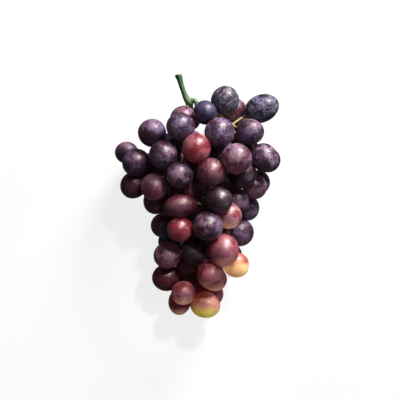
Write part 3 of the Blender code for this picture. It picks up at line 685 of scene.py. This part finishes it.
def points_mesh(name, places, values):
    """Loose points with one value of each kind at every point."""
    mesh = bpy.data.meshes.new(name)
    mesh.from_pydata([tuple(place) for place in places], [], [])
    for key, (kind, rows) in values.items():
        attribute = mesh.attributes.new(key, kind, "POINT")
        field = {"FLOAT": "value", "FLOAT_VECTOR": "vector", "FLOAT_COLOR": "color"}[kind]
        attribute.data.foreach_set(field, np.array(rows, dtype=np.float32).ravel())
    return mesh


def tone_rows(tones):
    """Each column of the tones' table for these berries, under the name that the skin reads."""
    rows = [TONES[tone] for tone in tones]
    found = {}
    for column, name in enumerate(TONE_COLOURS):
        found[name] = ("FLOAT_COLOR", [(*row[column], 1.0) for row in rows])
    for column, name in enumerate(TONE_VALUES, len(TONE_COLOURS)):
        found[name] = ("FLOAT", [row[column] for row in rows])
    return found


def berry_points(bunch, members):
    """One point a berry, with all that its skin needs to know."""
    scars = bunch.axes.copy()
    scar_sizes = np.full(len(scars), FAINT_SCAR)
    for name, (heading, rise) in SCARS.items():
        scars[bunch.names.index(name)] = heading_vector(heading, rise)
        scar_sizes[bunch.names.index(name)] = CLEAR_SCAR
    places = to_metres(bunch.centres[members])
    sizes = np.stack((bunch.widths, bunch.widths, bunch.lengths), axis=1)[members] / 2.0 * MM
    return points_mesh("berry_places", places, {
        "centre": ("FLOAT_VECTOR", places),
        "axis": ("FLOAT_VECTOR", bunch.axes[members]),
        "size": ("FLOAT_VECTOR", sizes),
        "scar_way": ("FLOAT_VECTOR", scars[members]),
        **tone_rows([bunch.tones[index] for index in members]),
        "scar_size": ("FLOAT", scar_sizes[members]),
    })


def new_shape_tree(name, sockets):
    """A bench on a new geometry tree, and a wire from each of the tree's named inputs."""
    tree = bpy.data.node_groups.new(name, "GeometryNodeTree")
    tree.interface.new_socket("Geometry", in_out="INPUT", socket_type="NodeSocketGeometry")
    for label, kind in sockets.items():
        tree.interface.new_socket(label, in_out="INPUT", socket_type="NodeSocket" + kind)
    tree.interface.new_socket("Geometry", in_out="OUTPUT", socket_type="NodeSocketGeometry")
    bench = Bench(tree)
    given = tree.nodes.new("NodeGroupInput")
    inputs = {socket.name: Wire(bench, socket) for socket in given.outputs if socket.name}
    return bench, inputs


def named_value(bench, name, kind):
    return bench.put("GeometryNodeInputNamedAttribute", {"data_type": kind}, {"Name": name}, "Attribute")


def turn_to_axis(bench):
    """The turn that brings a shape's Z onto the axis of the point that it stands on."""
    axis = named_value(bench, "axis", "FLOAT_VECTOR")
    return bench.put("FunctionNodeAlignRotationToVector", {"axis": "Z"}, {"Vector": axis}, "Rotation")


def close_tree(bench, geometry, material):
    """End the tree in plain geometry with its material."""
    plain = bench.put("GeometryNodeRealizeInstances", {}, {"Geometry": geometry}, "Geometry")
    dressed = bench.put("GeometryNodeSetMaterial", {}, {"Geometry": plain, "Material": material}, "Geometry")
    result = bench.tree.nodes.new("NodeGroupOutput")
    bench.feed(result.inputs["Geometry"], dressed)


def grape_tree():
    """A grape on every point: a ball with a dimple at the stem end, stretched, turned and made uneven."""
    bench, given = new_shape_tree("grapes_on_points", {
        "Sides": "Int", "Bands": "Int", "Dimple Depth": "Float", "Dimple Width": "Float",
        "Unevenness": "Float", "Swell Size": "Float", "Skin": "Material"})
    ball = bench.put("GeometryNodeMeshUVSphere", {}, {
        "Segments": given["Sides"], "Rings": given["Bands"], "Radius": 1.0}, "Mesh")
    place = bench.put("GeometryNodeInputPosition", {}, {}, "Position")
    across = bench.vector("LENGTH", bench.vector("MULTIPLY", place, (1.0, 1.0, 0.0)), output="Value")
    height = bench.put("ShaderNodeSeparateXYZ", {}, {"Vector": place}, "Z")
    share = across / given["Dimple Width"]
    depth = bench.maths("EXPONENT", 0.0 - share * share)
    depth = depth * given["Dimple Depth"] * bench.maths("LESS_THAN", height, 0.0)
    lift = bench.put("ShaderNodeCombineXYZ", {}, {"Z": depth}, "Vector")
    dimpled = bench.put("GeometryNodeSetPosition", {}, {"Geometry": ball, "Offset": lift}, "Geometry")
    grapes = bench.put("GeometryNodeInstanceOnPoints", {}, {
        "Points": given["Geometry"], "Instance": dimpled, "Rotation": turn_to_axis(bench),
        "Scale": named_value(bench, "size", "FLOAT_VECTOR")}, "Instances")
    plain = bench.put("GeometryNodeRealizeInstances", {}, {"Geometry": grapes}, "Geometry")
    swell = bench.noise(place, 1.0 / given["Swell Size"], 1.0) - 0.5
    out = bench.put("GeometryNodeInputNormal", {}, {}, "Normal")
    offset = bench.put("ShaderNodeVectorMath", {"operation": "SCALE"}, {
        "Vector": out, "Scale": swell * 2.0 * given["Unevenness"]}, "Vector")
    uneven = bench.put("GeometryNodeSetPosition", {}, {"Geometry": plain, "Offset": offset}, "Geometry")
    smooth = bench.put("GeometryNodeSetShadeSmooth", {}, {"Geometry": uneven}, "Geometry")
    close_tree(bench, smooth, given["Skin"])
    return bench.tree


def collar_tree():
    """The stalk with a swollen collar at the root of every berry."""
    bench, given = new_shape_tree("collars_on_stalk", {
        "Roots": "Object", "Sides": "Int", "Bands": "Int", "Radius": "Float", "Thickness": "Float",
        "Bark": "Material"})
    roots = bench.put("GeometryNodeObjectInfo", {}, {"Object": given["Roots"]}, "Geometry")
    ball = bench.put("GeometryNodeMeshUVSphere", {}, {
        "Segments": given["Sides"], "Rings": given["Bands"], "Radius": 1.0}, "Mesh")
    scale = bench.put("ShaderNodeCombineXYZ", {}, {
        "X": given["Radius"], "Y": given["Radius"], "Z": given["Thickness"]}, "Vector")
    collars = bench.put("GeometryNodeInstanceOnPoints", {}, {
        "Points": roots, "Instance": ball, "Rotation": turn_to_axis(bench), "Scale": scale}, "Instances")
    join = bench.tree.nodes.new("GeometryNodeJoinGeometry")
    bench.feed(join.inputs[0], given["Geometry"])
    bench.feed(join.inputs[0], collars)
    close_tree(bench, Wire(bench, join.outputs[0]), given["Bark"])
    return bench.tree


def add_shape(piece, tree, values):
    """Put a geometry tree on a piece, with its inputs set by their identifiers."""
    modifier = piece.modifiers.new(tree.name, "NODES")
    modifier.node_group = tree
    for item in tree.interface.items_tree:
        if item.in_out == "INPUT" and item.name in values:
            modifier[item.identifier] = values[item.name]


def make_plain(piece, name):
    """Replace a piece by its evaluated shape as a plain mesh."""
    bpy.context.view_layer.update()
    evaluated = piece.evaluated_get(bpy.context.evaluated_depsgraph_get())
    mesh = bpy.data.meshes.new_from_object(evaluated)
    mesh.name = name
    bpy.data.objects.remove(piece, do_unlink=True)
    return add_object(name, mesh)


def add_object(name, data):
    """Put a mesh, a lamp or a camera into the scene as an object."""
    added = bpy.data.objects.new(name, data)
    bpy.context.scene.collection.objects.link(added)
    return added


def make_grapes(bunch, name, members, material):
    """The grapes of one group as one piece, each flattened where something presses on it."""
    piece = add_object(name + "_places", berry_points(bunch, members))
    add_shape(piece, grape_tree(), {
        "Sides": GRAPE_SIDES, "Bands": GRAPE_BANDS, "Dimple Depth": DIMPLE_DEPTH,
        "Dimple Width": DIMPLE_WIDTH, "Unevenness": UNEVENNESS * MM, "Swell Size": SWELL_SIZE * MM,
        "Skin": material})
    piece = make_plain(piece, name)
    vertices = piece.data.vertices
    points = np.zeros(3 * len(vertices))
    vertices.foreach_get("co", points)
    points = points.reshape(len(members), -1, 3) / MM + (*ORIGIN, 0.0)
    pressed = np.array([bunch.press(berry, own) for berry, own in zip(members, points)])
    vertices.foreach_set("co", to_metres(pressed).ravel())
    piece.data.update()
    return piece


def make_bark(bunch, material):
    """The stalk rounded off, with its collars grown into it."""
    roots = bunch.centres - bunch.axes * (bunch.lengths / 2.0 + COLLAR_LIFT)[:, None]
    places = points_mesh("berry_roots", to_metres(roots), {"axis": ("FLOAT_VECTOR", bunch.axes)})
    marks = add_object("berry_roots", places)
    piece = add_object("stalk_core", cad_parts["stalk"].data.copy())
    add_shape(piece, collar_tree(), {
        "Roots": marks, "Sides": COLLAR_SIDES, "Bands": COLLAR_BANDS, "Radius": COLLAR_RADIUS * MM,
        "Thickness": COLLAR_THICKNESS * MM, "Bark": material})
    remesh = piece.modifiers.new("grown together", "REMESH")
    remesh.mode = "VOXEL"
    remesh.voxel_size = BARK_VOXEL * MM
    remesh.use_smooth_shade = True
    smooth = piece.modifiers.new("rounded", "SMOOTH")
    smooth.iterations = BARK_ROUNDS
    swell = piece.modifiers.new("swell", "DISPLACE")
    swell.mid_level = 0.0
    swell.strength = BARK_SWELL * MM
    piece = make_plain(piece, "stalk_bark")
    piece.data.materials.clear()
    piece.data.materials.append(material)
    bpy.data.objects.remove(marks, do_unlink=True)
    return piece


def new_material(name):
    material = bpy.data.materials.new(name)
    material.use_nodes = True
    bench = Bench(material.node_tree)
    return material, bench, material.node_tree.nodes["Principled BSDF"]


def set_surface(bench, shader, values):
    """Link or set the shader's sockets by their names."""
    for name, value in values.items():
        bench.feed(shader.inputs[name], value)


class GrapeSkin:
    """The patterns on a grape's skin, and the colour, gloss and relief that they give it."""

    def __init__(self, bench):
        self.bench = bench
        body = bench.put("ShaderNodeTexCoord", {}, {}, "Object")
        centre = self.given("centre", "Vector")
        self.out = bench.vector("NORMALIZE", bench.vector("SUBTRACT", body, centre))
        self.place = bench.vector("ADD", body, bench.vector("MULTIPLY", centre, PATTERN_SHIFT))
        self.luck = bench.put("ShaderNodeTexWhiteNoise", {}, {"Vector": centre}, "Value")
        self.flaking = self.given("flaking", "Fac")
        self.grain = self.pattern("grain")
        self.clouds = self.pattern("clouds")
        self.islands = self.pattern("islands") * 0.62 + self.pattern("islets") * 0.38
        self.rubbed = self.rubbed_patches()
        self.flakes = self.flaked_islands()
        self.marks = self.pits_and_scratches()
        self.bloom = self.bloom_left()
        self.ring, self.scar = self.ring_and_scar()

    def given(self, name, output):
        """A value that the grape's mesh carries."""
        return self.bench.put("ShaderNodeAttribute", {"attribute_name": name}, {}, output)

    def pattern(self, name):
        scale, detail, twist = PATTERNS[name]
        return self.bench.noise(self.place, scale, detail, twist)

    def rise(self, value, name):
        return self.bench.step(value, *SPANS[name])

    def rubbed_patches(self):
        """Ragged patches where the bloom is rubbed thin."""
        ragged = self.clouds + 0.30 * (self.pattern("ragged") - 0.5)
        return 1.0 - self.rise(ragged, "rubbed")

    def flaked_islands(self):
        """Small bare islands in the bloom, far more of them on a grape that flakes."""
        flaked = self.clouds - 0.28 * self.flaking * self.flaking * self.flaking
        islands = self.rise(self.islands, "islands") * self.rise(flaked, "flaked")
        return islands * (0.70 + 0.30 * self.flaking)

    def pits_and_scratches(self):
        """Pits and scratches, on the grapes that flake."""
        pits = self.rise(self.pattern("pits"), "pits") * self.rise(self.pattern("pitted"), "pitted")
        from_edge = self.bench.put("ShaderNodeTexVoronoi", {"feature": "DISTANCE_TO_EDGE"}, {
            "Vector": self.place, "Scale": SCRATCH_SCALE}, "Distance")
        scratches = 1.0 - self.rise(from_edge, "scratch")
        scratches = scratches * self.rise(self.pattern("scratched"), "scratched")
        return self.bench.maths("MAXIMUM", pits, scratches) * self.rise(self.flaking, "marked")

    def bloom_left(self):
        """How thick the bloom lies after all that wears it."""
        bloom = self.given("bloom", "Fac") * (0.80 + 0.40 * self.luck) * (1.0 - 0.86 * self.rubbed)
        bloom = bloom * (0.64 + 0.72 * self.grain)
        return bloom * (1.0 - 0.85 * self.marks) * (1.0 - 0.90 * self.flakes)

    def ring_and_scar(self):
        """The blossom's scar at the free end, and the dark ring round it."""
        scar_way = self.given("scar_way", "Vector")
        to_scar = self.bench.vector("DOT_PRODUCT", self.out, scar_way, output="Value")
        from_scar = self.bench.maths("ARCCOSINE", to_scar) / self.given("scar_size", "Fac")
        return 1.0 - self.rise(from_scar, "ring"), 1.0 - self.rise(from_scar, "scar")

    def bare_colour(self):
        """The skin under the bloom: it turns paler toward the tip of the bunch, partly its own colour and
        partly painted light coming through the flesh, and blushes in patches.
        """
        down = self.bench.put("ShaderNodeSeparateXYZ", {}, {"Vector": self.out}, "Y") * -1.0
        below = down + (self.clouds - 0.5) * 0.7 - self.given("low", "Fac")
        skin = self.given("skin", "Color")
        # The paler low side: partly the skin's own colour, partly painted light coming through the flesh.
        skin = self.bench.mix(self.rise(below, "pale"), skin, self.given("pale", "Color"))
        blush = self.rise(self.pattern("blush"), "blush")
        return self.bench.mix(blush * 0.45, skin, self.given("blush", "Color"))

    def dust_colour(self):
        """The bloom's own colour, cooler in patches."""
        dust = self.given("dust", "Color")
        cool = self.bench.put("ShaderNodeMix", {"data_type": "RGBA", "blend_type": "MULTIPLY"}, {
            "Factor": 1.0, "A": dust, "B": COOL_DUST}, "Result")
        return self.bench.mix(self.rise(self.pattern("cool"), "cool"), dust, cool)

    def colour(self, bare_colour):
        """The skin with its bloom, its marks, the green round its stem and its scar."""
        along = self.bench.vector("DOT_PRODUCT", self.out, self.given("axis", "Vector"), output="Value")
        root = self.rise(along * -1.0, "root")
        colour = self.bench.mix(self.bloom * BLOOM_COVER, bare_colour, self.dust_colour())
        colour = self.bench.mix(self.marks * 0.70, colour, MARK_COLOUR)
        colour = self.bench.mix(root * 0.6, colour, ROOT_COLOUR)
        colour = self.bench.mix(self.ring * 0.75, colour, RING_COLOUR)
        return self.bench.mix(self.scar, colour, SCAR_COLOUR)

    def gloss(self):
        """Roughness and coat: bloom dulls the skin, and bare spots have less of both."""
        whole = (1.0 - 0.9 * self.flakes) * (1.0 - 0.9 * self.marks)
        roughness = 0.28 + (0.16 + 0.20 * self.bloom) * whole + 0.10 * self.grain + 0.2 * self.scar
        return roughness, (1.0 - 0.95 * self.bloom) * whole

    def relief(self):
        """Grain, islands and scar stand up a little, and rubbed patches, marks and ring lie lower."""
        height = self.grain * 0.35 + self.islands * 0.50 + self.rubbed * -0.06
        height = height + self.marks * -0.25 + self.ring * -0.25 + self.scar * 0.45
        return self.bench.put("ShaderNodeBump", {}, {
            "Strength": 0.60, "Distance": SKIN_RELIEF, "Height": height}, "Normal")


def skin_material(name, clearness):
    """Grape skin under its bloom. The paler tones let some light through, and each tone's clear value adds a
    painted glow that stands in for light coming through the flesh.
    """
    material, bench, shader = new_material(name)
    skin = GrapeSkin(bench)
    bare_colour = skin.bare_colour()
    roughness, coat = skin.gloss()
    set_surface(bench, shader, SKIN_SETTINGS)
    set_surface(bench, shader, {
        "Base Color": skin.colour(bare_colour),
        # Painted glow: the bare skin glows by its clear value, painted light that stands in for light
        # through the flesh.
        "Emission Color": bench.mix(skin.given("clear", "Fac"), BLACK, bare_colour),
        "Roughness": roughness,
        "Coat Weight": coat,
        "Subsurface Weight": clearness,
        "Normal": skin.relief(),
    })
    return material


def bark_colour(bench, place, patches, fibres, warts):
    """Dark green along the stem, lighter at its cut end and its joint, darkened inside the bunch as painted
    shade, and pale at the right shoulder as painted light.
    """
    across = bench.put("ShaderNodeSeparateXYZ", {}, {"Vector": place}, "X")
    along = bench.put("ShaderNodeSeparateXYZ", {}, {"Vector": place}, "Y")
    # Painted light on the shoulder pedicels, painted shade on the rest of the stalk inside the bunch.
    shoulder = bench.step(along, *SHOULDER_ALONG) * bench.step(across, *SHOULDER_ACROSS)
    colour = bench.mix(shoulder, bench.mix(patches, *INNER_BARK_PAINTED_SHADE), bench.mix(patches, *SHOULDER_BARK_PAINTED_LIGHT))
    colour = bench.mix(bench.step(along, *JOINT_ALONG), colour, bench.mix(patches, *JOINT_BARK))
    colour = bench.mix(bench.step(along, *PEDUNCLE_ALONG), colour, bench.mix(fibres, *PEDUNCLE_BARK))
    colour = bench.mix(warts * 0.55, colour, WART_COLOUR)
    return bench.mix(bench.step(along, *CUT_ALONG) * 0.8, colour, CUT_COLOUR)


def bark_material():
    """Green stalk with fibres along it and small warts all over."""
    material, bench, shader = new_material("stalk_bark")
    place = bench.put("ShaderNodeTexCoord", {}, {}, "Object")
    fibres = bench.noise(bench.vector("MULTIPLY", place, FIBRE_STRETCH), FIBRE_SCALE, 3.0)
    patches = bench.noise(place, SHADE_SCALE, 2.0)
    from_wart = bench.put("ShaderNodeTexVoronoi", {}, {"Vector": place, "Scale": WART_SCALE}, "Distance")
    warts = 1.0 - bench.step(from_wart, *WART_EDGE)
    relief = bench.put("ShaderNodeBump", {}, {
        "Strength": 0.45, "Distance": BARK_RELIEF, "Height": fibres * 0.5 + warts}, "Normal")
    set_surface(bench, shader, {
        "Base Color": bark_colour(bench, place, patches, fibres, warts),
        "Roughness": 0.44 + 0.2 * patches,
        "Sheen Weight": 0.10,
        "Normal": relief,
    })
    return material


def floor_material():
    """Pale glowing floor with a painted shadow under the middle of the bunch, so the gaps between grapes
    look deep there.
    """
    material, bench, shader = new_material("pale_floor")
    place = bench.put("ShaderNodeTexCoord", {}, {}, "Object")
    place = bench.vector("MULTIPLY", bench.vector("SUBTRACT", place, FOOT_CENTRE), FOOT_SPREAD)
    # Painted shadow: the floor's glow fades to dark inside an oval under the bunch.
    outside_painted_shadow = bench.step(bench.vector("LENGTH", place, output="Value"), *FOOT_EDGE)
    set_surface(bench, shader, {
        "Base Color": FLOOR_COLOUR,
        "Roughness": 0.9,
        "Specular IOR Level": 0.0,
        "Emission Color": bench.mix(outside_painted_shadow, PAINTED_SHADOW_COLOUR, WHITE),
        "Emission Strength": FLOOR_GLOW,
    })
    return material


def make_floor():
    """One square on z = 0, which lights nothing and isn't mirrored in the grapes."""
    mesh = bpy.data.meshes.new("floor")
    corners = [(x * FLOOR_HALF, y * FLOOR_HALF, 0.0) for x, y in ((-1, -1), (1, -1), (1, 1), (-1, 1))]
    mesh.from_pydata(corners, [], [(0, 1, 2, 3)])
    mesh.materials.append(floor_material())
    floor = add_object("floor", mesh)
    floor.visible_diffuse = False
    floor.visible_glossy = False
    return floor


def aim_lamp(data, way, distance, target, power, colour):
    """Stand a lamp at a distance from its target, in metres, and turn it there."""
    data.energy = power
    data.color = colour
    lamp = add_object(data.name, data)
    way = Vector(way).normalized()
    lamp.location = Vector(target) + way * distance
    lamp.rotation_mode = "QUATERNION"
    lamp.rotation_quaternion = way.to_track_quat("Z", "Y")


def add_panel(name, way, distance, width, power, colour):
    """Round soft panel that faces the middle of the bunch."""
    data = bpy.data.lights.new(name, "AREA")
    data.shape = "DISK"
    data.size = width
    aim_lamp(data, way, distance, (0.0, 0.0, 0.0), power, colour)


def add_spot(name, way, distance, target, cone, power, colour):
    """Narrow soft-edged lamp that reaches only the berries round its target."""
    data = bpy.data.lights.new(name, "SPOT")
    data.spot_size = math.radians(cone)
    data.spot_blend = SPOT_BLEND
    data.shadow_soft_size = SPOT_SOFTNESS
    aim_lamp(data, way, distance, target, power, colour)


def make_lights():
    """A low sun, a weaker sky beside it, a second sun for the low berries, and a little light all round."""
    add_panel("sun_side", SUN_WAY, distance=1.6, width=0.72, power=66.0, colour=SUN_COLOUR)
    add_panel("sky_right", SKY_WAY, distance=1.8, width=1.2, power=6.0, colour=SKY_COLOUR)
    add_spot("low_sun", LOW_SUN_WAY, distance=1.2, target=LOW_BERRIES, cone=7.0, power=82.0,
             colour=SUN_COLOUR)
    world = bpy.data.worlds.new("studio")
    world.use_nodes = True
    background = world.node_tree.nodes["Background"]
    background.inputs["Color"].default_value = AIR_COLOUR
    background.inputs["Strength"].default_value = AIR_STRENGTH
    bpy.context.scene.world = world


def make_camera():
    """Straight down, with a long lens that frames the photograph's width at the berries' height."""
    data = bpy.data.cameras.new("camera")
    data.lens = data.sensor_width * (VIEW_HEIGHT - VIEW_LEVEL) / VIEW_WIDTH
    camera = add_object("camera", data)
    camera.location = (VIEW_CENTRE[0] * MM, VIEW_CENTRE[1] * MM, VIEW_HEIGHT * MM)
    bpy.context.scene.camera = camera


def declare(piece, node):
    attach(piece, "root")
    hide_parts(node)


bpy.context.scene.view_settings.view_transform = "Standard"
bpy.context.scene.view_settings.gamma = VIEW_GAMMA
make_camera()
make_lights()
make_floor()
bunch = Bunch()
ripe = make_grapes(bunch, "ripe_grapes", np.flatnonzero(~bunch.tip), skin_material("ripe_skin", 0.0))
tip = make_grapes(bunch, "tip_grapes", np.flatnonzero(bunch.tip), skin_material("tip_skin", TIP_CLEARNESS))
bark = make_bark(bunch, bark_material())
declare(ripe, "ripe_berries")
declare(tip, "tip_berries")
declare(bark, "stalk")
